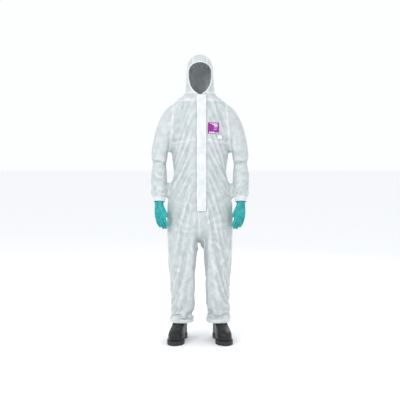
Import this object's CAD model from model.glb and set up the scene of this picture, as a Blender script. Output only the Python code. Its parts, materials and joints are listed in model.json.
import json
import math

import bpy
import numpy as np
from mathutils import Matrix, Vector, noise
from mathutils.bvhtree import BVHTree
from mathutils.kdtree import KDTree

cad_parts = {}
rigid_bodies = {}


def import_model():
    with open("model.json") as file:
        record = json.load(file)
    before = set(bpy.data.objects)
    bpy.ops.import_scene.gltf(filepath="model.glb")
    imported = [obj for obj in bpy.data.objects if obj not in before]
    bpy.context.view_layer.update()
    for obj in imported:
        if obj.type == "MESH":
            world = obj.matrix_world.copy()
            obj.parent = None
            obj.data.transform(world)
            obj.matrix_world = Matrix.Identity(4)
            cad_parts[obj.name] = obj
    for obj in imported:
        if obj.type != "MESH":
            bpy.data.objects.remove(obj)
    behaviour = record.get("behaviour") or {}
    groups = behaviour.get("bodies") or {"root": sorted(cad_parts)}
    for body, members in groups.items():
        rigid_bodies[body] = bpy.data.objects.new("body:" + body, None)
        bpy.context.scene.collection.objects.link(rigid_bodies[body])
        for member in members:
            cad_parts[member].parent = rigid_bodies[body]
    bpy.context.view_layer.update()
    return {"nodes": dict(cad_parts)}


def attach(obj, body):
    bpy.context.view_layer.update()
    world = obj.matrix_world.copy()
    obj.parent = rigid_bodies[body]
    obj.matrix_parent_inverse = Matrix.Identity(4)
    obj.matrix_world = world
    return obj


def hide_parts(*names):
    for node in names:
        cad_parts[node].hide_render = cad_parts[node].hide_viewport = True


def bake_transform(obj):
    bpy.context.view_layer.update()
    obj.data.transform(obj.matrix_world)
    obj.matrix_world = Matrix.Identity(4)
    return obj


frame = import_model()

# ---------------------------------------------------------------- camera
# A long lens at chest height, square to the front of the suit, far enough back that the
# boots are seen only a little from above.
view_height = 1.20
aim_height = 0.915
camera_data = bpy.data.cameras.new("studio_camera")
camera_data.lens = 69.0
camera = bpy.data.objects.new("studio_camera", camera_data)
bpy.context.collection.objects.link(camera)
camera.location = (0.0, -5.0 + 0.039, view_height)
aim = Vector((0.0, 0.039, aim_height)) - camera.location
camera.rotation_euler = aim.to_track_quat("-Z", "Y").to_euler()
bpy.context.scene.camera = camera

# ---------------------------------------------------------------- coverall cloth, as cut and sewn
# Thin nonwoven fabric, cut in panels and sewn inside out. The whole shell is raised as one
# closed form first (trunk, legs, sleeves, hood), draped over the space a wearer fills, and
# then parted along its seams.
middle_y = 0.039          # the trunk's centre line, front to back
hem_z, crotch_z = 0.118, 0.745
waist_z, yoke_z, collar_z, neck_z = 1.100, 1.305, 1.560, 1.606
hem_top_z, thigh_z = 0.133, 0.655      # top of the elastic hem, and where thigh meets leg top
fullness = 0.82           # below 1 the worn cloth is fuller than an ellipse


def front_line(z):
    """How far the centre front stands forward of the trunk's centre line."""
    return -0.108 - (1.594 - z) * 0.028 / 0.849


def pick(*things):
    """Selects the things and nothing else, the first of them active."""
    bpy.ops.object.select_all(action="DESELECT")
    for thing in things:
        thing.select_set(True)
    bpy.context.view_layer.objects.active = things[0]


def face_outwards(thing):
    """Turns every face of the thing outwards."""
    pick(thing)
    bpy.ops.object.mode_set(mode="EDIT")
    bpy.ops.mesh.select_all(action="SELECT")
    bpy.ops.mesh.normals_make_consistent(inside=False)
    bpy.ops.object.mode_set(mode="OBJECT")


def settle(thing, modifier):
    """Applies a modifier."""
    pick(thing)
    bpy.ops.object.modifier_apply(modifier=modifier.name)


def outline(turn, full):
    """A point of a ring: a rounded square when full is below 1, an ellipse at 1."""
    c, s = math.cos(turn), math.sin(turn)
    return math.copysign(abs(c) ** full, c), math.copysign(abs(s) ** full, s)


def raise_tube(name, rings, count=48):
    """A closed tube of cloth: a disc extruded once for each further ring, then set to the
    rings' sizes. A ring is (centre, width vector, depth vector, fullness)."""
    bpy.ops.object.select_all(action="DESELECT")
    bpy.ops.mesh.primitive_circle_add(vertices=count, radius=0.1, fill_type="NGON")
    bpy.ops.object.mode_set(mode="EDIT")
    bpy.ops.mesh.select_all(action="SELECT")
    for ring in rings[1:]:
        bpy.ops.mesh.extrude_region_move(TRANSFORM_OT_translate={"value": (0, 0, 0.1)})
    bpy.ops.mesh.select_all(action="SELECT")
    bpy.ops.mesh.normals_make_consistent(inside=False)
    bpy.ops.object.mode_set(mode="OBJECT")
    tube = bpy.context.object
    tube.name = name
    for v in tube.data.vertices:
        centre, wide, deep, full = rings[round(v.co.z / 0.1)]
        c, s = outline(math.atan2(v.co.y, v.co.x), full)
        v.co = Vector(centre) + Vector(wide) * c + Vector(deep) * s
    face_outwards(tube)
    return tube


def level_ring(x, z, half, front, back, full=fullness):
    return ((x, middle_y + (front + back) / 2, z), (half, 0, 0), (0, (back - front) / 2, 0), full)


trunk_sizes = [           # height, half width, back
    (0.716, 0.172, 0.100), (0.728, 0.196, 0.124), (0.745, 0.204, 0.133), (0.834, 0.207, 0.135),
    (0.965, 0.197, 0.127), (1.100, 0.176, 0.122), (1.200, 0.180, 0.122), (1.305, 0.185, 0.122),
    (1.450, 0.192, 0.122), (1.510, 0.186, 0.112), (1.545, 0.172, 0.104), (1.563, 0.150, 0.097),
    (1.583, 0.113, 0.091), (1.606, 0.098, 0.088), (1.625, 0.094, 0.086),
]
leg_sizes = [             # centre, height, half width, front, back
    (0.100, 0.860, 0.080, -0.080, 0.080), (0.106, 0.780, 0.095, -0.120, 0.120),
    (0.107, 0.735, 0.0985, -0.131, 0.131), (0.1075, 0.700, 0.0980, -0.127, 0.128),
    (0.1085, 0.660, 0.0980, -0.119, 0.121), (0.113, 0.586, 0.096, -0.106, 0.109),
    (0.118, 0.500, 0.093, -0.100, 0.104), (0.118, 0.404, 0.091, -0.096, 0.102),
    (0.118, 0.270, 0.084, -0.089, 0.099), (0.121, 0.135, 0.078, -0.080, 0.092),
    (0.121, 0.100, 0.074, -0.076, 0.088),
]
hood_sizes = [            # height, half width, front, back
    (1.575, 0.096, -0.100, 0.088), (1.606, 0.097, -0.1075, 0.090), (1.641, 0.092, -0.108, 0.099),
    (1.701, 0.088, -0.110, 0.106), (1.771, 0.085, -0.110, 0.106), (1.8135, 0.074, -0.0946, 0.091),
    (1.842, 0.049, -0.0638, 0.0615), (1.854, 0.019, -0.0253, 0.0244),
]
arm_top = [Vector((0.183, 0, 1.543)), Vector((0.296, 0, 1.474)), Vector((0.322, 0, 1.200))]
arm_low = [Vector((0.183, 0, 1.300)), Vector((0.197, 0, 1.264)), Vector((0.205, 0, 1.185))]
elbow = Vector((0.2625, middle_y, 1.130))
cuff = Vector((0.264, middle_y - 0.046, 0.930))
arm_axis = (cuff - elbow).normalized()


def sleeve_rings(side, slack):
    """The sleeve bends down from the armhole, then runs straight along the forearm."""
    rings = [((side * 0.120, middle_y, 1.430), (0.02 * side, 0, 0.105 - slack), (0, 0.070 - slack, 0), 1.0)]
    for t in (0.0, 0.2, 0.4, 0.6, 0.8, 1.0):
        top, low = [a * (1 - t) ** 2 + b * (2 * t * (1 - t)) + c * t ** 2 for a, b, c in (arm_top, arm_low)]
        middle, half = (top + low) / 2, (top - low) / 2
        half = half * (1 - slack / half.length)
        deep = 0.082 - 0.012 * t - slack
        rings.append(((side * middle.x, middle_y, middle.z), (side * half.x, 0, half.z), (0, deep, 0), 1.0))
    across = Vector((1, 0, 0)) - arm_axis * arm_axis.x
    across.normalize()
    deep = arm_axis.cross(across).normalized()
    spots = [
        (elbow, 0.059, 0.066), (elbow.lerp(cuff, 0.5), 0.058, 0.063), (cuff - arm_axis * 0.036, 0.059, 0.059),
        (cuff - arm_axis * 0.014, 0.050, 0.050), (cuff - arm_axis * 0.001, 0.040, 0.040),
        (cuff + arm_axis * 0.020, 0.036, 0.036),
    ]
    for at, half, half_deep in spots:
        wide = across * (half - slack)
        thick = deep * (half_deep - slack)
        rings.append(((side * at.x, at.y, at.z), (side * wide.x, wide.y, wide.z),
                      (side * thick.x, thick.y, thick.z), 1.0))
    return rings


def raise_suit(name, slack, arm_slack, pitch):
    """One closed skin of the whole suit, drawn in by the slack all round."""
    tubes = [raise_tube(name, [
        level_ring(0, z, half - slack, front_line(z) + slack, back - slack) for z, half, back in trunk_sizes
    ])]
    for side in (1, -1):
        tubes.append(raise_tube("leg_form", [
            level_ring(side * x, z, half - slack, front + slack, back - slack, 0.88)
            for x, z, half, front, back in leg_sizes
        ]))
        tubes.append(raise_tube("sleeve_form", sleeve_rings(side, arm_slack)))
    tubes.append(raise_tube("hood_form", [
        level_ring(0, z - slack / 2, max(half - slack, 0.01), front + slack, back - slack, 0.93)
        for z, half, front, back in hood_sizes if half > slack
    ]))
    pick(*tubes)
    bpy.ops.object.join()
    skin = tubes[0]
    remesh = skin.modifiers.new("one_skin", "REMESH")
    remesh.mode = "VOXEL"
    remesh.voxel_size = pitch
    remesh.use_smooth_shade = True
    settle(skin, remesh)
    soften = skin.modifiers.new("soften_joins", "SMOOTH")
    soften.factor = 0.5
    soften.iterations = 5
    settle(skin, soften)
    return skin


def points_of(thing):
    flat = np.empty(len(thing.data.vertices) * 3)
    thing.data.vertices.foreach_get("co", flat)
    return flat.reshape(-1, 3)


def normals_of(thing):
    flat = np.empty(len(thing.data.vertices) * 3)
    thing.data.vertices.foreach_get("normal", flat)
    return flat.reshape(-1, 3)


def set_points(thing, points):
    thing.data.vertices.foreach_set("co", np.ascontiguousarray(points, dtype=np.float64).ravel())
    thing.data.update()


def ramp(values, low, high):
    """0 below low, 1 above high, smooth between."""
    t = np.clip((values - low) / (high - low), 0, 1)
    return t * t * (3 - 2 * t)


def of_sleeve(px, pz):
    """True past the armhole, and below it on the sleeve's side of the gap under the arm."""
    trunk_half = np.interp(pz, [row[0] for row in trunk_sizes], [row[1] for row in trunk_sizes])
    under = (pz > 0.86) & (np.abs(px) > trunk_half + 0.007)
    return np.where(pz > 1.26, np.abs(px) * 0.994 + pz * 0.109 > 0.3371, under)


cloth = raise_suit("coverall_cloth", 0.0, 0.0, 0.0095)
worn = points_of(cloth)
x, y, z = worn.T
side_x = np.abs(x)
along = (side_x - cuff.x) * arm_axis.x + (y - cuff.y) * arm_axis.y + (z - cuff.z) * arm_axis.z
in_sleeve = of_sleeve(x, z)
held = ramp(z, 1.545, 1.600)
held = np.maximum(held, 1 - ramp(z, 0.124, 0.150))
held = np.maximum(held, (1 - ramp(side_x, 0.034, 0.062)) * (y < middle_y) * ramp(z, 0.780, 0.830))
held = np.maximum(held, np.where(in_sleeve, ramp(along, -0.030, -0.006), 0))
pins = cloth.vertex_groups.new(name="held")
for i, w in enumerate(held):
    if w > 0:
        pins.add([i], float(w), "REPLACE")

# The trunk has the most cloth to spare, the legs and sleeves less.
taut = cloth.vertex_groups.new(name="taut")
for i in range(len(worn)):
    taut.add([i], 0.80 if in_sleeve[i] else 0.65 if z[i] < 0.70 else 0.0, "REPLACE")

# Uneven starting points, so that the folds do not come out regular.
stir = np.array([noise.noise(Vector(p) * 14.0 + Vector((3.1, 7.7, 1.3))) for p in worn])
start = worn + normals_of(cloth) * (stir * 0.004 * (1 - held))[:, None]
set_points(cloth, start)

draped = start.copy()
wearer = raise_suit("wearer_space", 0.020, 0.013, 0.013)
wearer.modifiers.new("collision", "COLLISION")
wearer.collision.thickness_outer = 0.003
wearer.collision.cloth_friction = 12
drape = cloth.modifiers.new("drape", "CLOTH")
drape.settings.quality = 5
drape.settings.mass = 0.12
drape.settings.air_damping = 3.0
drape.settings.tension_stiffness = 12
drape.settings.compression_stiffness = 12
drape.settings.shear_stiffness = 4
drape.settings.bending_stiffness = 1.2
drape.settings.tension_damping = 8
drape.settings.compression_damping = 8
drape.settings.bending_damping = 1.0
drape.settings.shrink_min = -0.040
drape.settings.shrink_max = 0.0
drape.settings.vertex_group_shrink = "taut"
drape.settings.vertex_group_mass = "held"
drape.settings.pin_stiffness = 4.0
drape.collision_settings.use_collision = True
drape.collision_settings.distance_min = 0.003
drape.collision_settings.collision_quality = 2
drape.collision_settings.use_self_collision = False
drape.point_cache.frame_start = 1
drape.point_cache.frame_end = 40
for step in range(1, 37):
    bpy.context.scene.frame_set(step)
settle(cloth, drape)
bpy.data.objects.remove(wearer)
bpy.context.scene.frame_set(1)
draped = points_of(cloth)

# Gathers at the elastic: round each hem, above each cuff, and across the back of the waist.
x, y, z = draped.T
side_x = np.abs(x)
turn = np.arctan2(y - middle_y, side_x - 0.121)
leg_axis = np.stack([np.sign(x) * 0.121, np.full(len(x), middle_y + 0.006), z], axis=1)
outward = draped - leg_axis
outward /= np.linalg.norm(outward, axis=1)[:, None]
puckers = np.sin(turn * 29 + np.sin(turn * 3) * 2) * 0.5 + np.sin(turn * 47 + 1.3) * 0.3 + 0.6
gather = (1 - ramp(worn[:, 2], 0.120, 0.200)) * 0.0025
draped = draped + outward * (puckers * gather)[:, None]
back = (worn[:, 1] > middle_y + 0.03) & (side_x < 0.185)
band = np.exp(-((worn[:, 2] - waist_z) / 0.030) ** 2) * (1 - ramp(side_x, 0.130, 0.165)) * back
pleats = np.sin(x * 2 * math.pi / 0.024 + np.sin(x * 31) * 1.5) * 0.0034
draped[:, 1] += band * pleats - np.exp(-((worn[:, 2] - waist_z) / 0.012) ** 2) * band * 0.006
cuff_spot = np.stack([
    np.sign(x) * (cuff.x + along * arm_axis.x), cuff.y + along * arm_axis.y, cuff.z + along * arm_axis.z,
], axis=1)
outward = draped - cuff_spot
reach = np.linalg.norm(outward, axis=1)
turn = np.arctan2(outward[:, 1], outward[:, 0])
pleats = np.sin(turn * 17 + np.sin(turn * 2) * 2) * 0.0035
near_cuff = in_sleeve * (1 - ramp(-along, 0.012, 0.075)) * ramp(-along, -0.004, 0.010)
draped = draped + outward / reach[:, None] * (pleats * near_cuff)[:, None]

# Creases where the cloth buckles at the bent places, on the front and on the back.
front_creases = [           # x and z of each end, width, height
    (-0.135, 0.655, -0.070, 0.540, 0.011, 0.0060), (-0.180, 0.600, -0.110, 0.505, 0.010, 0.0045),
    (-0.060, 0.620, -0.035, 0.500, 0.009, 0.0050), (-0.175, 0.470, -0.090, 0.430, 0.011, 0.0050),
    (-0.050, 0.470, -0.120, 0.390, 0.012, 0.0055), (-0.190, 0.165, -0.110, 0.310, 0.011, 0.0060),
    (-0.165, 0.350, -0.060, 0.270, 0.012, 0.0045), (-0.055, 0.330, -0.080, 0.180, 0.010, 0.0040),
    (0.060, 0.660, 0.140, 0.590, 0.010, 0.0060), (0.150, 0.640, 0.185, 0.540, 0.011, 0.0050),
    (0.170, 0.560, 0.080, 0.480, 0.012, 0.0055), (0.055, 0.540, 0.120, 0.430, 0.010, 0.0045),
    (0.045, 0.420, 0.130, 0.350, 0.012, 0.0060), (0.190, 0.430, 0.110, 0.300, 0.011, 0.0050),
    (0.060, 0.300, 0.100, 0.160, 0.010, 0.0050), (0.185, 0.270, 0.150, 0.160, 0.010, 0.0045),
    (0.025, 0.745, 0.165, 0.830, 0.011, 0.0055), (0.025, 0.735, 0.180, 0.765, 0.010, 0.0045),
    (-0.025, 0.745, -0.160, 0.800, 0.011, 0.0045), (-0.030, 0.800, -0.070, 0.980, 0.010, 0.0060),
    (0.015, 0.760, 0.090, 0.900, 0.010, 0.0045), (-0.020, 0.735, -0.170, 0.735, 0.010, 0.0040),
    (-0.190, 1.300, -0.120, 1.420, 0.010, 0.0055), (0.190, 1.300, 0.125, 1.440, 0.010, 0.0055),
    (-0.195, 1.345, -0.150, 1.500, 0.010, 0.0050), (0.200, 1.350, 0.150, 1.505, 0.010, 0.0050),
    (-0.215, 1.190, -0.300, 1.150, 0.011, 0.0060), (0.215, 1.190, 0.300, 1.150, 0.011, 0.0060),
    (-0.215, 1.060, -0.310, 1.105, 0.011, 0.0055), (0.215, 1.060, 0.305, 1.110, 0.011, 0.0055),
    (-0.230, 0.985, -0.300, 1.040, 0.010, 0.0045), (0.225, 0.990, 0.300, 1.030, 0.010, 0.0045),
]
back_creases = [
    (-0.020, 0.745, -0.150, 0.860, 0.013, 0.0060), (0.020, 0.745, 0.160, 0.840, 0.013, 0.0060),
    (-0.030, 0.700, -0.170, 0.735, 0.012, 0.0050), (0.030, 0.700, 0.170, 0.745, 0.012, 0.0050),
    (-0.060, 0.520, -0.180, 0.470, 0.012, 0.0060), (0.055, 0.500, 0.180, 0.530, 0.012, 0.0060),
    (-0.055, 0.440, -0.175, 0.520, 0.012, 0.0050), (0.060, 0.560, 0.175, 0.460, 0.012, 0.0050),
    (-0.180, 1.330, -0.090, 1.480, 0.012, 0.0055), (0.180, 1.320, 0.095, 1.470, 0.012, 0.0055),
    (-0.150, 1.050, -0.040, 1.000, 0.014, 0.0060), (0.150, 1.040, 0.050, 0.985, 0.014, 0.0060),
]
set_points(cloth, draped)
flat_normals = normals_of(cloth)
lift = np.zeros(len(draped))
way_out = [(-1, row) for row in front_creases] + [(1, row) for row in back_creases]
for way, (x0, z0, x1, z1, wide, tall) in way_out:
    a, b = np.array([x0, z0]), np.array([x1, z1])
    spot = np.stack([draped[:, 0], draped[:, 2]], axis=1) - a
    share = (spot @ (b - a)) / ((b - a) @ (b - a))
    bow = 0.012 * np.sin(np.clip(share, 0, 1) * math.pi)
    side_way = np.array([-(b - a)[1], (b - a)[0]]) / np.linalg.norm(b - a)
    away = spot @ side_way - bow
    ends_off = np.clip(np.abs(share - 0.5) * 2, 0, 1.3)
    taper = np.clip(1 - ends_off ** 2, 0, 1)
    facing = ramp(flat_normals[:, 1] * way, 0.05, 0.5)
    profile = np.exp(-(away / wide) ** 2) - 0.5 * np.exp(-((away - 1.9 * wide) / wide) ** 2)
    lift += tall * taper * facing * profile
lift *= 1 - held
draped = draped + flat_normals * lift[:, None]

# The curve between the legs is pulled smooth by its seams.
set_points(cloth, draped)
between = (np.abs(worn[:, 0]) < 0.075) & (worn[:, 2] > 0.68) & (worn[:, 2] < 0.775)
cloth.data.vertices.foreach_set("select", between)
pick(cloth)
for parts in (cloth.data.edges, cloth.data.polygons):
    parts.foreach_set("select", np.zeros(len(parts), dtype=bool))
bpy.ops.object.mode_set(mode="EDIT")
bpy.ops.mesh.select_mode(type="VERT")
bpy.ops.mesh.vertices_smooth(factor=0.5, repeat=16)
bpy.ops.object.mode_set(mode="OBJECT")
draped = points_of(cloth)

# The lower legs hang outside the boot shafts and their pull tabs.
toe_out = math.radians(11)
shaft_x, shaft_y = 0.1238, middle_y + 0.0185
for side in (1, -1):
    px = draped[:, 0] * side - shaft_x
    py = draped[:, 1] - shaft_y
    ahead = -px * math.sin(toe_out) + py * math.cos(toe_out)
    out_side = px * math.cos(toe_out) + py * math.sin(toe_out)
    reach = np.sqrt((ahead / 0.0745) ** 2 + (out_side / 0.0545) ** 2)
    low = (draped[:, 0] * side > 0) * (1 - ramp(draped[:, 2], 0.225, 0.260))
    push = 1 + low * (np.maximum(reach, 1.0) / np.maximum(reach, 0.2) - 1)
    draped[:, 0] = np.where(low > 0, side * (shaft_x + px * push), draped[:, 0])
    draped[:, 1] = np.where(low > 0, shaft_y + py * push, draped[:, 1])

# The sleeves rest against the hips without going through them.
arm_gap = 0.2065
side_x = np.abs(draped[:, 0])
beside = (draped[:, 2] < 1.235) & (draped[:, 2] > 0.90)
squeezed = np.where(in_sleeve & beside, arm_gap + 0.012 * np.logaddexp(0, (side_x - arm_gap) / 0.012), side_x)
squeezed = np.where(in_sleeve & beside & (side_x > arm_gap + 0.05), side_x, squeezed)
squeezed = np.where(~in_sleeve & beside & (side_x > 0.150), np.minimum(side_x, 0.2045), squeezed)
draped[:, 0] = np.copysign(squeezed, draped[:, 0])
side_x = np.abs(draped[:, 0])

# The strip beside the zip lies flat and straight, as the tape holds it.
strip = (1 - ramp(side_x, 0.030, 0.052)) * (worn[:, 1] < middle_y) * ramp(worn[:, 2], 0.775, 0.800)
strip *= 1 - ramp(worn[:, 2], 1.600, 1.620)
strip_bow = (1 - (side_x / 0.052) ** 2 * 0.12).clip(0, 1)
draped[:, 1] += strip * (middle_y + front_line(draped[:, 2]) - draped[:, 1]) * strip_bow

# ---------------------------------------------------------------- panels
# The skin is parted where the suit is sewn: the cut lines are planes through the flat,
# undraped form, and every point then takes its draped place.
set_points(cloth, worn)
for name, values in (("draped", draped), ("sewn", worn)):
    layer = cloth.data.attributes.new(name, "FLOAT_VECTOR", "POINT")
    layer.data.foreach_set("vector", np.ascontiguousarray(values, dtype=np.float32).ravel())


def face_middles(thing):
    flat = np.empty(len(thing.data.polygons) * 3)
    thing.data.polygons.foreach_get("center", flat)
    return flat.reshape(-1, 3)


def pick_faces(thing, chosen):
    """Enters edit mode on the thing with only the chosen faces selected."""
    pick(thing)
    bpy.ops.object.mode_set(mode="EDIT")
    bpy.ops.mesh.select_mode(type="FACE")
    bpy.ops.mesh.select_all(action="DESELECT")
    bpy.ops.object.mode_set(mode="OBJECT")
    thing.data.polygons.foreach_set("select", chosen)
    bpy.ops.object.mode_set(mode="EDIT")


def take(thing, chosen, name):
    """Separates the chosen faces as a piece of their own."""
    before = set(bpy.data.objects)
    pick_faces(thing, chosen)
    bpy.ops.mesh.separate(type="SELECTED")
    bpy.ops.object.mode_set(mode="OBJECT")
    piece = (set(bpy.data.objects) - before).pop()
    piece.name = name
    piece.vertex_groups.clear()
    return piece


def border(thing):
    """Points on the open edges of a piece."""
    uses = {}
    for polygon in thing.data.polygons:
        for key in polygon.edge_keys:
            uses[key] = uses.get(key, 0) + 1
    return sorted({i for key, n in uses.items() if n == 1 for i in key})


def cut(at, normal, low, high):
    """Parts the skin along a plane, only between the corners low and high."""
    middles = face_middles(cloth)
    pick_faces(cloth, np.all((middles > low) & (middles < high), axis=1))
    bpy.ops.mesh.bisect(plane_co=at, plane_no=normal)
    bpy.ops.object.mode_set(mode="OBJECT")


far = 9.0
slot_half, crown_half = 0.006, 0.045
for level in (hem_z, hem_top_z, crotch_z, collar_z, neck_z):
    cut((0, 0, level), (0, 0, 1), (-far, -far, -far), (far, far, far))
cut((0, 0, thigh_z), (0, 0, 1), (-far, -far, 0.5), (far, far, 0.8))
cut((0, 0, yoke_z), (0, 0, 1), (-0.21, -far, 1.2), (0.21, middle_y + 0.02, 1.4))
cut((0, 0, waist_z), (0, 0, 1), (-0.20, middle_y - 0.02, 1.0), (0.20, far, 1.2))
cut((0, middle_y, 0), (0, 1, 0), (-far, -far, -far), (far, far, 1.62))
for edge in (-slot_half, slot_half):
    cut((edge, 0, 0), (1, 0, 0), (-0.03, -far, 0.84), (0.03, middle_y, 1.61))
for edge in (-crown_half, crown_half):
    cut((edge, 0, 0), (1, 0, 0), (-0.08, -far, 1.60), (0.08, far, far))
for side in (1, -1):
    reach = sorted((side * 0.12, side * 0.30))
    cut((side * 0.1697, 0, 1.545), (side * 0.994, 0, 0.109), (reach[0], -far, 1.275), (reach[1], far, 1.60))
    reach = sorted((side * 0.19, side * 0.40))
    cut((side * 0.26, 0, 1.2575), (side * 0.6, 0, -0.8), (reach[0], -far, 1.1), (reach[1], far, 1.4))
    at = (side * cuff.x, cuff.y, cuff.z)
    cut(at, (side * arm_axis.x, arm_axis.y, arm_axis.z), (reach[0], -far, 0.87), (reach[1], far, 0.99))

mx, my, mz = face_middles(cloth).T
across = np.abs(mx)
down_arm = (across - cuff.x) * arm_axis.x + (my - cuff.y) * arm_axis.y + (mz - cuff.z) * arm_axis.z
is_arm = of_sleeve(mx, mz)
is_front = my < middle_y
names = [
    "chest_panel", "front_panel", "upper_back_panel", "lower_back_panel", "collar", "crotch_gusset",
    "hood_centre_panel", "hood_panel", "sleeve_head", "sleeve", "cuff_end", "leg_top", "leg", "ankle_hem",
    "slot",
]
kind = np.full(len(mx), -1)
body_part = ~is_arm & (mz > crotch_z) & (mz < collar_z)
kind[body_part & is_front & (mz > yoke_z)] = 0
kind[body_part & is_front & (mz <= yoke_z)] = 1
kind[body_part & ~is_front & (mz > waist_z)] = 2
kind[body_part & ~is_front & (mz <= waist_z)] = 3
kind[(mz > collar_z) & (mz < neck_z)] = 4
kind[(mz > neck_z) & (across < crown_half) & ((mz > 1.735) | ~is_front)] = 6
kind[(mz > neck_z) & (kind != 6)] = 7
kind[is_arm & (across * 0.6 - mz * 0.8 < -0.850)] = 8
kind[is_arm & (across * 0.6 - mz * 0.8 >= -0.850)] = 9
kind[is_arm & (down_arm > 0)] = 10
kind[(mz < crotch_z) & (mz > thigh_z)] = 11
kind[(mz < thigh_z) & (mz > hem_top_z)] = 12
kind[mz < hem_top_z] = 13
kind[mz < hem_z] = -1
kind[(mz < crotch_z) & (across < 0.0075) & (mz > thigh_z)] = 5
kind[(across < slot_half) & is_front & (mz > 0.868) & (mz < 1.60)] = 14
label_layer = cloth.data.attributes.new("panel", "INT", "FACE")
label_layer.data.foreach_set("value", (kind * 2 + (mx < 0)).astype(np.int32))
vectors = np.empty(len(cloth.data.vertices) * 3, dtype=np.float32)
cloth.data.attributes["draped"].data.foreach_get("vector", vectors)
set_points(cloth, vectors.reshape(-1, 3))
finer = cloth.modifiers.new("finer", "SUBSURF")
finer.levels = 1
settle(cloth, finer)

# Ridges and hollows of the folds, kept for the finish: doubled cloth shows whiter.
points = points_of(cloth)
normals = normals_of(cloth)
ends = np.empty(len(cloth.data.edges) * 2, dtype=np.int64)
cloth.data.edges.foreach_get("vertices", ends)
ends = ends.reshape(-1, 2)
count = np.bincount(ends.ravel(), minlength=len(points)).clip(1)[:, None]


def neighbour_mean(values):
    total = np.zeros_like(values)
    np.add.at(total, ends[:, 0], values[ends[:, 1]])
    np.add.at(total, ends[:, 1], values[ends[:, 0]])
    return total / count


smooth = points
for _ in range(12):
    smooth = neighbour_mean(smooth)
rise = ((points - smooth) * normals).sum(axis=1)[:, None]
for _ in range(2):
    rise = neighbour_mean(rise)
ridge = cloth.data.attributes.new("ridge", "FLOAT", "POINT")
ridge.data.foreach_set("value", (rise[:, 0] / 0.0035).astype(np.float32))

# The face opening: an egg with its point at the chin, cut out of the hood and the collar.
face_z, face_half, face_top, chin_z = 1.735, 0.073, 1.798, 1.594
egg = []
for k in range(360):
    a = 2 * math.pi * k / 360
    if math.sin(a) >= 0:
        egg.append((face_half * math.cos(a), face_z + (face_top - face_z) * math.sin(a)))
    else:
        t = -math.sin(a)
        reach = face_half * (1 - t ** 2.6) ** 0.6
        egg.append((math.copysign(reach, math.cos(a)), face_z - (face_z - chin_z) * t))
egg = np.array(egg)


def inside_egg(px, pz):
    up = pz >= face_z
    t = np.where(up, (pz - face_z) / (face_top - face_z), (face_z - pz) / (face_z - chin_z))
    t = np.clip(t, 0, 1)
    half = np.where(up, face_half * np.sqrt(1 - t * t), face_half * (1 - t ** 2.6) ** 0.6)
    return (np.abs(px) < half) & (pz < face_top) & (pz > chin_z)


at = face_middles(cloth)
pick_faces(cloth, inside_egg(at[:, 0], at[:, 2]) & (at[:, 1] < middle_y))
bpy.ops.mesh.delete(type="FACE")
bpy.ops.object.mode_set(mode="OBJECT")
points = points_of(cloth)
for i in border(cloth):
    spot = points[i]
    away = np.hypot(egg[:, 0] - spot[0], egg[:, 1] - spot[2])
    nearest = egg[away.argmin()]
    points[i, 0], points[i, 2] = nearest
set_points(cloth, points)


def panel_faces(kinds, side=None):
    """Faces of these panels of the skin: side 0 is the wearer's left, 1 the right."""
    values = np.empty(len(cloth.data.polygons), dtype=np.int32)
    cloth.data.attributes["panel"].data.foreach_get("value", values)
    chosen = np.isin(values // 2, [names.index(k) for k in kinds])
    if side is not None:
        chosen &= values % 2 == side
    return chosen


pick_faces(cloth, panel_faces(["slot"]))
bpy.ops.mesh.delete(type="FACE")
bpy.ops.object.mode_set(mode="OBJECT")

pieces = {}
for k in ("upper_back_panel", "lower_back_panel", "collar", "crotch_gusset", "hood_centre_panel"):
    pieces[k] = take(cloth, panel_faces([k]), "cloth_" + k)
paired = ("chest_panel", "front_panel", "hood_panel", "sleeve_head", "sleeve", "leg_top", "leg", "ankle_hem")
for side, word in ((0, "left"), (1, "right")):
    for k in paired:
        pieces[word + "_" + k] = take(cloth, panel_faces([k], side), "cloth_" + word + "_" + k)
bpy.data.objects.remove(cloth)


def thicken(thing, thickness, offset=-1.0):
    """Gives a sheet its thickness: inwards, or to both sides when offset is 0."""
    wall = thing.modifiers.new("wall", "SOLIDIFY")
    wall.thickness = thickness
    wall.offset = offset
    settle(thing, wall)


for name, piece in pieces.items():
    flat = np.empty(len(piece.data.vertices) * 3, dtype=np.float32)
    piece.data.attributes["sewn"].data.foreach_get("vector", flat)
    flat = flat.reshape(-1, 3)
    tree = KDTree(len(flat))
    for i in border(piece):
        px, py, pz = np.abs(flat[i][0]), flat[i][1], flat[i][2]
        not_sewn = min(abs(pz - thigh_z), abs(pz - crotch_z), abs(0.6 * px - 0.8 * pz + 0.850)) < 0.0008
        if not not_sewn or i == 0:
            tree.insert(flat[i], i)
    tree.balance()
    distance = np.array([min(tree.find(p)[2], 0.05) for p in flat])
    if "leg" in name:
        distance = np.minimum(distance, np.abs(flat[:, 1] - middle_y))
    if "sleeve" in name:
        under_arm = middle_y + np.minimum(flat[:, 2] - elbow.z, 0) * (middle_y - cuff.y) / (elbow.z - cuff.z)
        inner_half = np.abs(flat[:, 0]) < np.where(flat[:, 2] > elbow.z, 0.250, 0.262)
        distance = np.where(inner_half, np.minimum(distance, np.abs(flat[:, 1] - under_arm)), distance)
    seam = piece.data.attributes.new("seam", "FLOAT", "POINT")
    seam.data.foreach_set("value", distance.astype(np.float32))
    piece.data.attributes.remove(piece.data.attributes["draped"])
    pick(piece)
    bpy.ops.object.shade_smooth()
    thicken(piece, 0.0008)

# ---------------------------------------------------------------- finish of the cloth
# White spunbonded nonwoven, a little see-through: cloudy grey where one layer lies over the
# dark inside, whiter along folds and along the doubled seam allowances.


def new_material(name):
    made = bpy.data.materials.new(name)
    made.use_nodes = True
    return made, made.node_tree.nodes, made.node_tree.links, made.node_tree.nodes["Principled BSDF"]


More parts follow.
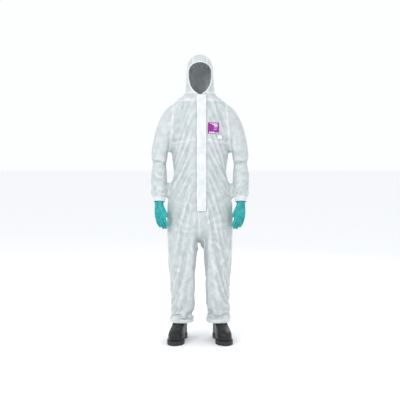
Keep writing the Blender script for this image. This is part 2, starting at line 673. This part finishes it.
def mapped(nodes, links, value, low, high, out_low, out_high):
    """A value carried from one range to another."""
    step = nodes.new("ShaderNodeMapRange")
    step.interpolation_type = "SMOOTHSTEP"
    step.inputs["From Min"].default_value = low
    step.inputs["From Max"].default_value = high
    step.inputs["To Min"].default_value = out_low
    step.inputs["To Max"].default_value = out_high
    links.new(value, step.inputs["Value"])
    return step.outputs["Result"]


def combined(nodes, links, operation, a, b):
    """Two values, or a value and a number, through one sum."""
    step = nodes.new("ShaderNodeMath")
    step.operation = operation
    for socket, given in zip(step.inputs, (a, b)):
        if isinstance(given, (int, float)):
            socket.default_value = given
        else:
            links.new(given, socket)
    return step.outputs["Value"]


def noise_value(nodes, links, scale, detail, rough=0.5, stretch=(1, 1, 1)):
    where = nodes.new("ShaderNodeTexCoord")
    spread = nodes.new("ShaderNodeMapping")
    spread.inputs["Scale"].default_value = stretch
    texture = nodes.new("ShaderNodeTexNoise")
    texture.inputs["Scale"].default_value = scale
    texture.inputs["Detail"].default_value = detail
    texture.inputs["Roughness"].default_value = rough
    links.new(where.outputs["Object"], spread.inputs["Vector"])
    links.new(spread.outputs["Vector"], texture.inputs["Vector"])
    return texture.outputs["Fac"]


def attribute_value(nodes, name):
    reader = nodes.new("ShaderNodeAttribute")
    reader.attribute_name = name
    return reader.outputs["Fac"]


def toned(nodes, links, share, low, high):
    """A colour between low, where the share is 0, and high, where it is 1."""
    tone = nodes.new("ShaderNodeMix")
    tone.data_type = "RGBA"
    tone.inputs[6].default_value = (*low, 1)
    tone.inputs[7].default_value = (*high, 1)
    links.new(share, tone.inputs[0])
    return tone.outputs[2]


def raise_grain(nodes, links, shader, height, strength, distance):
    """Fine relief on the surface."""
    bump = nodes.new("ShaderNodeBump")
    bump.inputs["Strength"].default_value = strength
    bump.inputs["Distance"].default_value = distance
    links.new(height, bump.inputs["Height"])
    links.new(bump.outputs["Normal"], shader.inputs["Normal"])


def cloth_material(name, deep, pale, whiteness):
    made, nodes, links, shader = new_material(name)
    cloudy = noise_value(nodes, links, 26, 6, 0.62)
    fibres = noise_value(nodes, links, 420, 3, 0.7, (1, 1, 0.45))
    crinkle = noise_value(nodes, links, 75, 4, 0.55)
    ridge = mapped(nodes, links, attribute_value(nodes, "ridge"), -0.4, 1.2, -0.06, 0.34)
    hem = mapped(nodes, links, attribute_value(nodes, "seam"), 0.0050, 0.0070, 0.50, 0.0)
    amount = mapped(nodes, links, cloudy, 0.30, 0.72, whiteness, whiteness + 0.34)
    amount = combined(nodes, links, "ADD", amount, mapped(nodes, links, fibres, 0.35, 0.7, -0.07, 0.07))
    amount = combined(nodes, links, "ADD", amount, ridge)
    amount = combined(nodes, links, "ADD", amount, hem)
    crease = mapped(nodes, links, attribute_value(nodes, "seam"), 0.0004, 0.0014, 0.45, 0.0)
    amount = combined(nodes, links, "SUBTRACT", amount, crease)
    tone = toned(nodes, links, amount, deep, pale)
    links.new(tone, shader.inputs["Base Color"])
    height = combined(nodes, links, "MULTIPLY", crinkle, 0.55)
    height = combined(nodes, links, "ADD", height, combined(nodes, links, "MULTIPLY", fibres, 0.16))
    ridge_line = mapped(nodes, links, attribute_value(nodes, "seam"), 0.005, 0.0075, 0.5, 0.0)
    height = combined(nodes, links, "ADD", height, ridge_line)
    groove = mapped(nodes, links, attribute_value(nodes, "seam"), 0.0, 0.0016, -0.6, 0.0)
    height = combined(nodes, links, "ADD", height, groove)
    raise_grain(nodes, links, shader, height, 0.55, 0.0016)
    shader.inputs["Roughness"].default_value = 0.66
    shader.inputs["Specular IOR Level"].default_value = 0.28
    shader.inputs["Sheen Weight"].default_value = 0.18
    shader.inputs["Sheen Roughness"].default_value = 0.5
    return made


def dress(thing, made):
    """Gives the thing this one finish."""
    thing.data.materials.clear()
    thing.data.materials.append(made)
    for polygon in thing.data.polygons:
        polygon.material_index = 0


shell_finish = cloth_material("coverall_nonwoven", (0.37, 0.415, 0.42), (0.72, 0.755, 0.765), 0.14)
for piece in pieces.values():
    dress(piece, shell_finish)

for k in ("upper_back_panel", "lower_back_panel", "collar", "crotch_gusset"):
    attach(pieces[k], "torso")
    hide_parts(k)
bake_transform(pieces["hood_centre_panel"])
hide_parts("hood_centre_panel")
for side, word in ((1, "left"), (-1, "right")):
    for k in ("chest_panel", "front_panel"):
        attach(pieces[word + "_" + k], "torso")
        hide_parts(word + "_" + k)
    hood_side = pieces[word + "_hood_panel"]
    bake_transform(hood_side)
    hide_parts("hood_" + word + "_panel")
    head, sleeve = pieces[word + "_sleeve_head"], pieces[word + "_sleeve"]
    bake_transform(head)
    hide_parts(word + "_shoulder_sleeve", word + "_upper_sleeve")
    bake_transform(sleeve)
    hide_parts(word + "_elbow_sleeve", word + "_forearm_sleeve")
    top, leg, hem = pieces[word + "_leg_top"], pieces[word + "_leg"], pieces[word + "_ankle_hem"]
    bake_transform(top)
    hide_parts(word + "_thigh_top")
    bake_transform(leg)
    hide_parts(word + "_thigh", word + "_knee", word + "_shin")
    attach(hem, word + "_lower_leg")
    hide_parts(word + "_ankle_hem")

# ---------------------------------------------------------------- elastic round the face
# Narrow elastic sewn into the folded edge of the hood, so the edge is drawn into fine gathers.
elastic_made, nodes, links, shader = new_material("gathered_elastic")
ribs = noise_value(nodes, links, 260, 4)
share = mapped(nodes, links, ribs, 0.35, 0.65, 0, 1)
tone = toned(nodes, links, share, (0.52, 0.56, 0.57), (0.74, 0.765, 0.77))
links.new(tone, shader.inputs["Base Color"])
raise_grain(nodes, links, shader, ribs, 0.5, 0.001)
shader.inputs["Roughness"].default_value = 0.7


def surface_of(*names):
    """One surface through the named panels, to lay other things against."""
    spots, tris = [], []
    for name in names:
        base = len(spots)
        spots.extend(v.co.copy() for v in pieces[name].data.vertices)
        tris.extend([base + i for i in polygon.vertices] for polygon in pieces[name].data.polygons)
    return BVHTree.FromPolygons(spots, tris)


hood_surface = surface_of("hood_centre_panel", "left_hood_panel", "right_hood_panel", "collar")

bpy.ops.mesh.primitive_torus_add(
    major_segments=360, minor_segments=14, major_radius=1.0, minor_radius=0.1, location=(0, 0, 0)
)
face_band = bpy.context.object
face_band.name = "face_elastic_band"
centre_x, centre_z = 0.0, 1.700
edge_line = []
for k in range(360):
    px, pz = egg[k]
    out = Vector((px - centre_x, 0, pz - centre_z)).normalized()
    hit = hood_surface.ray_cast(Vector((px, -0.5, pz)) + out * 0.0035, Vector((0, 1, 0)))
    edge_line.append([px, hit[0].y if hit[0] else -0.068, pz])
edge_line = np.array(edge_line)
for _ in range(12):
    edge_line[:, 1] = (np.roll(edge_line[:, 1], 1, 0) + edge_line[:, 1] + np.roll(edge_line[:, 1], -1, 0)) / 3
run = np.roll(edge_line, -1, 0) - np.roll(edge_line, 1, 0)
run /= np.linalg.norm(run, axis=1)[:, None]
for v in face_band.data.vertices:
    k = round(math.degrees(math.atan2(v.co.y, v.co.x))) % 360
    ring = math.atan2(v.co.z, math.hypot(v.co.x, v.co.y) - 1.0)
    along_edge = Vector(run[k])
    forward = Vector((0, -1, 0))
    out = along_edge.cross(forward).normalized()
    if out.dot(Vector((edge_line[k][0], 0, edge_line[k][2] - centre_z))) < 0:
        out = -out
    gather = 1 + 0.16 * math.sin(k * 1.3 + 2 * math.sin(k * 0.11)) + 0.10 * math.sin(k * 2.1)
    centre = Vector(edge_line[k]) + out * 0.0030
    v.co = centre + (out * math.cos(ring) * 0.0050 + forward * math.sin(ring) * 0.0024) * gather
dress(face_band, elastic_made)
face_outwards(face_band)
bpy.ops.object.shade_smooth()
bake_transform(face_band)
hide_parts("face_elastic")

# ---------------------------------------------------------------- elastic cuffs
# Each sleeve ends in a gathered tube of cloth with elastic inside it.
for side, word in ((1, "left"), (-1, "right")):
    bpy.ops.mesh.primitive_cylinder_add(vertices=160, radius=1.0, depth=2.0, end_fill_type="NOTHING")
    band = bpy.context.object
    band.name = word + "_cuff_elastic"
    pick(band)
    bpy.ops.object.mode_set(mode="EDIT")
    bpy.ops.mesh.select_all(action="SELECT")
    bpy.ops.mesh.subdivide(number_cuts=1)
    bpy.ops.mesh.subdivide(number_cuts=4)
    bpy.ops.object.mode_set(mode="OBJECT")
    across = Vector((1, 0, 0)) - arm_axis * arm_axis.x
    across.normalize()
    deep = arm_axis.cross(across).normalized()
    for v in band.data.vertices:
        turn = math.atan2(v.co.y, v.co.x)
        down = (1 - v.co.z) / 2
        pleat = math.sin(turn * 26 + 1.2 * math.sin(turn * 3)) * 0.6 + math.sin(turn * 41 + 1) * 0.4
        radius = 0.0356 + 0.0042 * (1 - down) ** 3 + 0.0011 * pleat
        radius += 0.0010 * math.sin(down * math.pi * 3) ** 2
        at = cuff + arm_axis * (-0.001 + down * 0.024)
        spot = at + (across * math.cos(turn) + deep * math.sin(turn)) * radius
        v.co = (side * spot.x, spot.y, spot.z)
    thicken(band, 0.0016, offset=0)
    face_outwards(band)
    bpy.ops.object.shade_smooth()
    dress(band, elastic_made)
    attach(band, word + "_forearm")
    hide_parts(word + "_wrist_elastic")

# ---------------------------------------------------------------- waist elastic
# A narrow band stretched and stitched inside the back at the waist.
bpy.ops.mesh.primitive_grid_add(x_subdivisions=150, y_subdivisions=4, size=2)
waist_band = bpy.context.object
waist_band.name = "waist_elastic_band"
back_surface = surface_of("upper_back_panel", "lower_back_panel")
for v in waist_band.data.vertices:
    px, pz = v.co.x * 0.148, waist_z + v.co.y * 0.006
    hit = back_surface.ray_cast(Vector((px, middle_y, pz)), Vector((0, 1, 0)))
    inner = hit[0].y if hit[0] else 0.15
    v.co = (px, inner - 0.0022, pz)
thicken(waist_band, 0.0009)
dress(waist_band, elastic_made)
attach(waist_band, "torso")
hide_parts("waist_elastic")

# ---------------------------------------------------------------- storm flap
# A doubled strip of the same cloth over the zip, sewn down along the wearer's left side of
# the zip and stuck shut along its free edge. Doubled, it is whiter than the shell.
flap_low, flap_high, flap_free, flap_sewn, flap_out = 0.852, 1.592, -0.020, 0.038, 0.0062
bpy.ops.mesh.primitive_grid_add(x_subdivisions=28, y_subdivisions=330, size=2)
flap = bpy.context.object
flap.name = "storm_flap_cloth"
sewn = flap.data.attributes.new("seam", "FLOAT", "POINT")
seam_values, ridge_values = [], []
for v in flap.data.vertices:
    u, w = (v.co.x + 1) / 2, (v.co.y + 1) / 2
    px = flap_free + (flap_sewn - flap_free) * u
    pz = flap_low + (flap_high - flap_low) * w
    px += 0.0012 * math.sin(pz * 31) * (1 - u) + 0.0006 * math.sin(pz * 83) * (1 - u)
    wave = noise.noise(Vector((px * 26, 1.7, pz * 16))) * 0.5
    wave = wave + noise.noise(Vector((px * 60, 4.1, pz * 44))) * 0.25
    wrinkle = math.sin(pz * 210 + 3 * math.sin(px * 90)) * max(0.0, (pz - 1.50) / 0.092) ** 1.5
    loose = (1 - u) ** 0.7 * (0.35 + 0.65 * min(1, (1 - w) * 12))
    lifted = 0.0026 * max(0.0, wave + 0.35) * loose + 0.0010 * max(0.0, wrinkle) * min(1, (1 - u) * 4)
    lifted += 0.0016 * math.exp(-((pz - flap_low) / 0.02) ** 2) * (1 - u)
    v.co = (px, middle_y + front_line(pz) - flap_out - lifted, pz)
    seam_values.append(min(abs(px - flap_free), abs(px - flap_sewn), abs(pz - flap_low), abs(pz - flap_high)))
    ridge_values.append(wave * 1.6 + 0.2)
sewn.data.foreach_set("value", np.array(seam_values, dtype=np.float32))
ridge = flap.data.attributes.new("ridge", "FLOAT", "POINT")
ridge.data.foreach_set("value", np.array(ridge_values, dtype=np.float32))
thicken(flap, 0.0011, offset=0)
face_outwards(flap)
bpy.ops.object.shade_smooth()
flap_finish = cloth_material("flap_nonwoven", (0.52, 0.56, 0.57), (0.76, 0.785, 0.79), 0.30)
dress(flap, flap_finish)
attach(flap, "flap")
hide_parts("storm_flap")

# The fold of cloth the flap hangs on stays with the coat.
bpy.ops.mesh.primitive_cube_add(size=1)
fold = bpy.context.object
fold.name = "flap_seam_fold"
pick(fold)
bpy.ops.object.mode_set(mode="EDIT")
bpy.ops.mesh.select_all(action="SELECT")
bpy.ops.mesh.bevel(offset=0.2, segments=4, affect="EDGES")
bpy.ops.mesh.bisect(plane_co=(0, 0, 0), plane_no=(0, 0, 1))
bpy.ops.object.mode_set(mode="OBJECT")
for v in fold.data.vertices:
    pz = (flap_low + flap_high) / 2 + v.co.z * (flap_high - flap_low)
    v.co = (0.0408 + v.co.x * 0.0034, middle_y + front_line(pz) - 0.0018 + v.co.y * 0.0050, pz)
bpy.ops.object.shade_smooth()
dress(fold, flap_finish)
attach(fold, "torso")
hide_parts("storm_flap_seam")

# ---------------------------------------------------------------- labels
# A square woven label on the left chest, with plain white blocks where print would be, a small
# blank tag under it, and a size label inside the collar.


def blocks(nodes, links, patches):
    """1 inside any of the rectangles (left, right, bottom, top) of the label's own UV square."""
    where = nodes.new("ShaderNodeUVMap")
    where.uv_map = "UVMap"
    parts = nodes.new("ShaderNodeSeparateXYZ")
    links.new(where.outputs["UV"], parts.inputs["Vector"])
    total = None
    for left, right, bottom, top in patches:
        ends = []
        for along_label, low, high in ((parts.outputs["X"], left, right), (parts.outputs["Y"], bottom, top)):
            risen = mapped(nodes, links, along_label, low - 0.006, low + 0.006, 0, 1)
            fallen = mapped(nodes, links, along_label, high - 0.006, high + 0.006, 1, 0)
            ends.append(combined(nodes, links, "MULTIPLY", risen, fallen))
        patch = combined(nodes, links, "MULTIPLY", *ends)
        total = patch if total is None else combined(nodes, links, "MAXIMUM", total, patch)
    return total


def printed(name, ground, ink, patches):
    made, nodes, links, shader = new_material(name)
    weave = noise_value(nodes, links, 900, 2, 0.6)
    tone = toned(nodes, links, blocks(nodes, links, patches), ground, ink)
    shade = nodes.new("ShaderNodeHueSaturation")
    links.new(tone, shade.inputs["Color"])
    links.new(mapped(nodes, links, weave, 0.3, 0.7, 0.86, 1.10), shade.inputs["Value"])
    links.new(shade.outputs["Color"], shader.inputs["Base Color"])
    raise_grain(nodes, links, shader, weave, 0.25, 0.0004)
    shader.inputs["Roughness"].default_value = 0.55
    return made


def chest_patch(name, left, right, bottom, top, count, raised):
    """A patch laid on the chest, following its folds."""
    chest = surface_of("left_chest_panel", "left_front_panel")
    bpy.ops.mesh.primitive_grid_add(x_subdivisions=count, y_subdivisions=count, size=2, calc_uvs=True)
    patch = bpy.context.object
    patch.name = name
    depth = []
    for v in patch.data.vertices:
        px, pz = left + (right - left) * (v.co.x + 1) / 2, bottom + (top - bottom) * (v.co.y + 1) / 2
        hit = chest.ray_cast(Vector((px, -0.6, pz)), Vector((0, 1, 0)))
        depth.append(hit[0].y if hit[0] else -0.07)
        v.co = (px, depth[-1] - raised, pz)
    flatten = patch.modifiers.new("flatten", "SMOOTH")
    flatten.factor = 0.4
    flatten.iterations = 2
    flatten.use_x = flatten.use_z = False
    settle(patch, flatten)
    thicken(patch, 0.0005, offset=0)
    face_outwards(patch)
    bpy.ops.object.shade_smooth()
    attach(patch, "torso")
    return patch


label = chest_patch("chest_label_patch", 0.050, 0.121, 1.344, 1.415, 36, 0.0011)
dress(label, printed("label_print", (0.27, 0.004, 0.27), (0.86, 0.84, 0.88), [
    (0.18, 0.86, 0.90, 0.94), (0.40, 0.88, 0.78, 0.84), (0.58, 0.88, 0.64, 0.74), (0.52, 0.88, 0.50, 0.53),
    (0.50, 0.80, 0.34, 0.37), (0.12, 0.24, 0.05, 0.17), (0.30, 0.42, 0.05, 0.17), (0.48, 0.60, 0.05, 0.17),
    (0.66, 0.95, 0.04, 0.10),
]))
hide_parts("chest_label")
tag = chest_patch("inspection_tag_patch", 0.112, 0.140, 1.313, 1.333, 14, 0.0012)
tag_blocks = [(0.12, 0.88, 0.62, 0.72), (0.12, 0.66, 0.36, 0.44)]
dress(tag, printed("tag_print", (0.88, 0.88, 0.88), (0.60, 0.62, 0.64), tag_blocks))
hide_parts("inspection_tag")

bpy.ops.mesh.primitive_grid_add(x_subdivisions=20, y_subdivisions=14, size=2, calc_uvs=True)
size_patch = bpy.context.object
size_patch.name = "size_label_patch"
collar_surface = surface_of("collar")
for v in size_patch.data.vertices:
    px, pz = v.co.x * 0.019, 1.583 + v.co.y * 0.013
    hit = collar_surface.ray_cast(Vector((px, middle_y, pz)), Vector((0, 1, 0)))
    v.co = (px, (hit[0].y if hit[0] else middle_y + 0.086) - 0.0016, pz)
thicken(size_patch, 0.0005)
size_blocks = [(0.30, 0.70, 0.55, 0.85), (0.15, 0.85, 0.30, 0.36)]
dress(size_patch, printed("size_print", (0.86, 0.86, 0.86), (0.10, 0.10, 0.12), size_blocks))
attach(size_patch, "torso")
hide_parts("size_label")

# ---------------------------------------------------------------- zip
# Nylon coil zip on woven tape, with a moulded slider and pull; double-sided tape on the flap.


def plain_material(name, low, high, rough, scale, metallic=0.0, bump_height=0.0004, strength=0.3):
    made, nodes, links, shader = new_material(name)
    grain = noise_value(nodes, links, scale, 4, 0.6)
    tone = toned(nodes, links, mapped(nodes, links, grain, 0.3, 0.7, 0, 1), low, high)
    links.new(tone, shader.inputs["Base Color"])
    raise_grain(nodes, links, shader, grain, strength, bump_height)
    links.new(mapped(nodes, links, grain, 0.3, 0.7, rough - 0.06, rough + 0.06), shader.inputs["Roughness"])
    shader.inputs["Metallic"].default_value = metallic
    return made


def banded_material(name, low, high, rough, per_metre):
    """Fine ribs across the length of a woven or coiled strip, running up the suit."""
    made, nodes, links, shader = new_material(name)
    where = nodes.new("ShaderNodeTexCoord")
    parts = nodes.new("ShaderNodeSeparateXYZ")
    links.new(where.outputs["Object"], parts.inputs["Vector"])
    phase = combined(nodes, links, "MULTIPLY", parts.outputs["Z"], per_metre * 2 * math.pi)
    wave = combined(nodes, links, "SINE", phase, 0)
    tone = toned(nodes, links, mapped(nodes, links, wave, -1, 1, 0, 1), low, high)
    links.new(tone, shader.inputs["Base Color"])
    raise_grain(nodes, links, shader, wave, 0.8, 0.0006)
    shader.inputs["Roughness"].default_value = rough
    return made


nodes_kept = frame["nodes"]
tape_finish = banded_material("zip_tape_weave", (0.62, 0.64, 0.65), (0.78, 0.80, 0.81), 0.75, 900)
coil_finish = banded_material("zip_coil_teeth", (0.45, 0.47, 0.48), (0.82, 0.84, 0.85), 0.35, 620)
stop_finish = plain_material("zip_stop_nylon", (0.70, 0.72, 0.73), (0.80, 0.82, 0.83), 0.35, 300)
slider_finish = plain_material("zip_slider_metal", (0.52, 0.53, 0.54), (0.66, 0.67, 0.68), 0.34, 240, 0.9)
sticky_finish = plain_material("adhesive_strip", (0.72, 0.69, 0.58), (0.80, 0.78, 0.70), 0.30, 180)
for name, made in (
    ("zip_tape_left", tape_finish), ("zip_tape_right", tape_finish), ("zip_coil_left", coil_finish),
    ("zip_coil_right", coil_finish), ("zip_top_stops", stop_finish), ("zip_bottom_stop", stop_finish),
    ("zip_slider", slider_finish), ("zip_pull_tab", slider_finish), ("flap_adhesive_strip", sticky_finish),
):
    dress(nodes_kept[name], made)

# ---------------------------------------------------------------- gloves
# Dipped nitrile gloves, satin, with fine creases over the knuckles and palm. The gauntlet goes
# up inside the cuff.
glove_finish, nodes, links, shader = new_material("nitrile")
creases_fine = noise_value(nodes, links, 150, 5, 0.6, (1, 1, 0.4))
blotch = noise_value(nodes, links, 40, 3, 0.5)
share = mapped(nodes, links, blotch, 0.3, 0.7, 0, 1)
tone = toned(nodes, links, share, (0.0, 0.235, 0.245), (0.004, 0.375, 0.375))
links.new(tone, shader.inputs["Base Color"])
raise_grain(nodes, links, shader, creases_fine, 0.6, 0.0012)
links.new(mapped(nodes, links, creases_fine, 0.3, 0.7, 0.36, 0.50), shader.inputs["Roughness"])
# The hand is one outer skin: a face is on the inside when almost no line from it gets away.
outlooks = []
for k in range(60):
    up = 1 - 2 * (k + 0.5) / 60
    level_part = math.sqrt(1 - up * up)
    spin = k * 2.39996    # the golden angle spreads the directions evenly
    outlooks.append(Vector((level_part * math.cos(spin), level_part * math.sin(spin), up)))
glove = nodes_kept["right_glove"].copy()
glove.data = glove.data.copy()
bpy.context.collection.objects.link(glove)
glove.name = "right_nitrile_glove"
pick(glove)
bpy.ops.object.mode_set(mode="EDIT")
bpy.ops.mesh.select_all(action="SELECT")
bpy.ops.mesh.remove_doubles(threshold=0.00005)
bpy.ops.object.mode_set(mode="OBJECT")
corners = [v.co for v in glove.data.vertices]
surface = BVHTree.FromPolygons(corners, [list(p.vertices) for p in glove.data.polygons])
inner = []
for polygon in glove.data.polygons:
    spot = polygon.center + polygon.normal * 0.0003
    ahead = [way for way in outlooks if way.dot(polygon.normal) > 0.05]
    escapes = sum(surface.ray_cast(spot, way, 0.2)[0] is None for way in ahead)
    inner.append(escapes < 3)
pick_faces(glove, inner)
bpy.ops.mesh.delete(type="FACE")
bpy.ops.mesh.select_all(action="SELECT")
bpy.ops.mesh.fill_holes(sides=0)
bpy.ops.object.mode_set(mode="OBJECT")
skin = glove.modifiers.new("one_skin", "REMESH")
skin.mode = "VOXEL"
skin.voxel_size = 0.0018
settle(glove, skin)
soften = glove.modifiers.new("soften", "SMOOTH")
soften.factor = 0.5
soften.iterations = 8
settle(glove, soften)
flat = points_of(glove)
normals = normals_of(glove)
slack = np.array([noise.noise(Vector((p[0] * 55, p[1] * 55, p[2] * 28))) for p in flat])
near_cuff = 0.3 + 0.7 * (1 - ramp(np.abs(flat[:, 2] - 0.90), 0.01, 0.07))
set_points(glove, flat + normals * (slack * 0.0011 * near_cuff)[:, None])
other = glove.copy()
other.data = glove.data.copy()
bpy.context.collection.objects.link(other)
other.name = "left_nitrile_glove"
set_points(other, points_of(other) * [-1, 1, 1])
pick(other)
bpy.ops.object.mode_set(mode="EDIT")
bpy.ops.mesh.select_all(action="SELECT")
bpy.ops.mesh.flip_normals()
bpy.ops.object.mode_set(mode="OBJECT")
for thing, word in ((glove, "right"), (other, "left")):
    pick(thing)
    bpy.ops.object.shade_smooth()
    dress(thing, glove_finish)
    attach(thing, word + "_hand")
    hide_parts(word + "_glove")

# ---------------------------------------------------------------- boots
# Pull-on safety boots in smooth black leather: a lasted upper with a rounded toe cap, elastic
# gores at the sides of the shaft, a pull tab at the back and a moulded rubber sole.
ankle = Vector((0.129, middle_y - 0.008, 0.0))
toe_out = math.radians(11)
sole_tall, boot_tall, heel_reach, toe_reach = 0.028, 0.218, 0.098, 0.205
ball_half, heel_half, shaft_half, shaft_deep = 0.055, 0.038, 0.047, 0.062
shaft_back = heel_reach - 0.009
shaft_toe = shaft_back - 2 * shaft_deep


def foot_line(heel, toe, ball, half, count=72):
    """A smooth closed foot outline through its ten leading points."""
    def part(share):
        return heel + (toe - heel) * share
    lead = np.array([
        (0, heel), (half * 0.92, part(0.12)), (half, part(0.34)), (ball, part(0.66)),
        (ball * 0.86, part(0.88)),
        (ball * 0.1, toe), (-ball * 0.78, part(0.9)), (-ball * 0.93, part(0.68)), (-half * 0.92, part(0.34)),
        (-half * 0.92, part(0.12)),
    ])
    out = []
    for k in range(count):
        at = k / count * 10
        i = int(at)
        t = at - i
        p0, p1, p2, p3 = (lead[(i + j) % 10] for j in (-1, 0, 1, 2))
        second, third = 2 * p0 - 5 * p1 + 4 * p2 - p3, 3 * p1 - p0 - 3 * p2 + p3
        out.append(0.5 * (2 * p1 + (p2 - p0) * t + second * t * t + third * t ** 3))
    return np.array(out)


boot_rows = np.array([     # height share, heel, toe, half at the ball, half at the heel
    (0.0, heel_reach - 0.005, -toe_reach + 0.008, ball_half - 0.005, heel_half - 0.004),
    (0.12, heel_reach - 0.003, -toe_reach + 0.005, ball_half - 0.004, heel_half - 0.002),
    (0.25, heel_reach - 0.005, -toe_reach + 0.015, ball_half - 0.008, heel_half - 0.003),
    (0.335, heel_reach - 0.007, -toe_reach + 0.050, ball_half - 0.013, heel_half - 0.002),
    (0.44, shaft_back - 0.001, -toe_reach * 0.22 + shaft_toe * 0.78, ball_half - 0.013, heel_half),
    (0.6, shaft_back - 0.002, shaft_toe - 0.008, shaft_half - 0.004, shaft_half - 0.006),
    (0.8, shaft_back - 0.002, shaft_toe, shaft_half - 0.002, shaft_half - 0.003),
    (1.0, shaft_back, shaft_toe, shaft_half, shaft_half),
])
leather, nodes, links, shader = new_material("black_leather")
pebble = noise_value(nodes, links, 620, 3, 0.6)
scuff = noise_value(nodes, links, 30, 5, 0.7)
share = mapped(nodes, links, scuff, 0.35, 0.75, 0, 1)
tone = toned(nodes, links, share, (0.006, 0.006, 0.0065), (0.016, 0.016, 0.017))
stitch = mapped(nodes, links, attribute_value(nodes, "stitch"), 0.2, 0.9, 0, 1)
lighter = nodes.new("ShaderNodeMix")
lighter.data_type = "RGBA"
lighter.inputs[7].default_value = (0.075, 0.075, 0.078, 1)
links.new(tone, lighter.inputs[6])
links.new(combined(nodes, links, "MULTIPLY", stitch, 0.7), lighter.inputs[0])
links.new(lighter.outputs[2], shader.inputs["Base Color"])
height = combined(nodes, links, "MULTIPLY", pebble, 0.35)
height = combined(nodes, links, "ADD", height, combined(nodes, links, "MULTIPLY", stitch, 0.8))
raise_grain(nodes, links, shader, height, 0.45, 0.0008)
links.new(mapped(nodes, links, scuff, 0.3, 0.8, 0.34, 0.56), shader.inputs["Roughness"])
shader.inputs["Specular IOR Level"].default_value = 0.32

rows, around = 60, 96
sole_finish = plain_material("rubber_sole", (0.012, 0.012, 0.013), (0.026, 0.026, 0.027), 0.62, 120)
bed_finish = plain_material("footbed_felt", (0.05, 0.05, 0.055), (0.09, 0.09, 0.095), 0.9, 500)
web_finish = banded_material("webbing_ribs", (0.012, 0.012, 0.013), (0.035, 0.035, 0.037), 0.8, 700)
for side, word in ((1, "left"), (-1, "right")):
    bpy.ops.mesh.primitive_cylinder_add(vertices=around, radius=1, depth=1, end_fill_type="NOTHING")
    upper = bpy.context.object
    upper.name = word + "_boot_leather"
    pick(upper)
    bpy.ops.object.mode_set(mode="EDIT")
    bpy.ops.mesh.select_all(action="SELECT")
    for step in range(1, rows):
        bpy.ops.mesh.select_all(action="SELECT")
        bpy.ops.mesh.bisect(plane_co=(0, 0, -0.5 + step / rows), plane_no=(0, 0, 1))
    bpy.ops.object.mode_set(mode="OBJECT")
    lines = {}
    stitch_values = []
    for v in upper.data.vertices:
        level = round((v.co.z + 0.5) * rows)
        k = round(math.degrees(math.atan2(v.co.x, v.co.y)) / 360 * around) % around
        if level not in lines:
            share = level / rows
            softened = []
            for c in (1, 2, 3, 4):
                exact = np.interp(share, boot_rows[:, 0], boot_rows[:, c])
                near = np.interp([share - 0.05, share + 0.05], boot_rows[:, 0], boot_rows[:, c]).mean()
                softened.append((exact + near) / 2)
            lines[level] = foot_line(*softened, count=around)
        px, py = lines[level][k]
        share = level / rows
        pz = sole_tall + 0.0003 + (boot_tall - sole_tall - 0.0003) * share
        at_toes = math.exp(-((py + 0.105) / 0.03) ** 2)
        crease = math.sin(share * 75 + 5 * px / 0.05) * at_toes * math.exp(-((share - 0.36) / 0.09) ** 2)
        shrink = 1 - 0.02 * crease * 0.9 - 0.010
        px, py = px * shrink, (py - 0.02) * shrink + 0.02
        cap = math.exp(-((py + 0.135 + 0.5 * px * px / 0.05) / 0.0014) ** 2) * (share < 0.5)
        top_line = math.exp(-((share - 0.965) / 0.006) ** 2)
        welt = math.exp(-((share - 0.045) / 0.008) ** 2)
        stitch_values.append(min(1.0, cap + top_line + welt))
        c, s = math.cos(toe_out), math.sin(toe_out)
        spot = Vector((px * c - py * s, px * s + py * c, pz)) + ankle
        v.co = (side * spot.x, spot.y, spot.z)
    layer = upper.data.attributes.new("stitch", "FLOAT", "POINT")
    layer.data.foreach_set("value", np.array(stitch_values, dtype=np.float32))
    face_outwards(upper)
    thicken(upper, 0.0026)
    pick(upper)
    bpy.ops.object.shade_smooth()
    dress(upper, leather)
    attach(upper, word + "_boot")
    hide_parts(word + "_boot_upper")
    dress(nodes_kept[word + "_boot_sole"], sole_finish)
    dress(nodes_kept[word + "_boot_footbed"], bed_finish)
    dress(nodes_kept[word + "_boot_side_gores"], web_finish)
    dress(nodes_kept[word + "_boot_heel_tab"], web_finish)

# ---------------------------------------------------------------- studio
# A plain white sweep, one large soft key light, a weaker fill and an even pale surround.
bpy.ops.mesh.primitive_plane_add(size=120)
floor = bpy.context.object
floor.name = "studio_floor"
floor_made, nodes, links, shader = new_material("studio_white")
grain = noise_value(nodes, links, 3, 2)
links.new(mapped(nodes, links, grain, 0, 1, 0.88, 0.92), shader.inputs["Roughness"])
shader.inputs["Base Color"].default_value = (0.93, 0.94, 0.96, 1)
dress(floor, floor_made)


def soft_light(name, at, towards, size, watts):
    data = bpy.data.lights.new(name, "AREA")
    data.shape = "SQUARE"
    data.size = size
    data.energy = watts
    lamp = bpy.data.objects.new(name, data)
    bpy.context.collection.objects.link(lamp)
    lamp.location = at
    lamp.rotation_euler = (Vector(towards) - Vector(at)).to_track_quat("-Z", "Y").to_euler()


soft_light("key", (-2.6, -3.4, 3.4), (0, 0, 1.0), 2.2, 84)
soft_light("fill", (3.2, -3.0, 1.6), (0, 0, 0.9), 2.6, 24)
soft_light("rim", (1.6, 3.2, 2.8), (0, 0, 1.1), 2.0, 34)
world = bpy.data.worlds.new("pale_surround")
world.use_nodes = True
world.node_tree.nodes["Background"].inputs["Color"].default_value = (0.985, 0.995, 1.0, 1)
world.node_tree.nodes["Background"].inputs["Strength"].default_value = 1.0
bpy.context.scene.world = world
bpy.context.scene.view_settings.view_transform = "Standard"
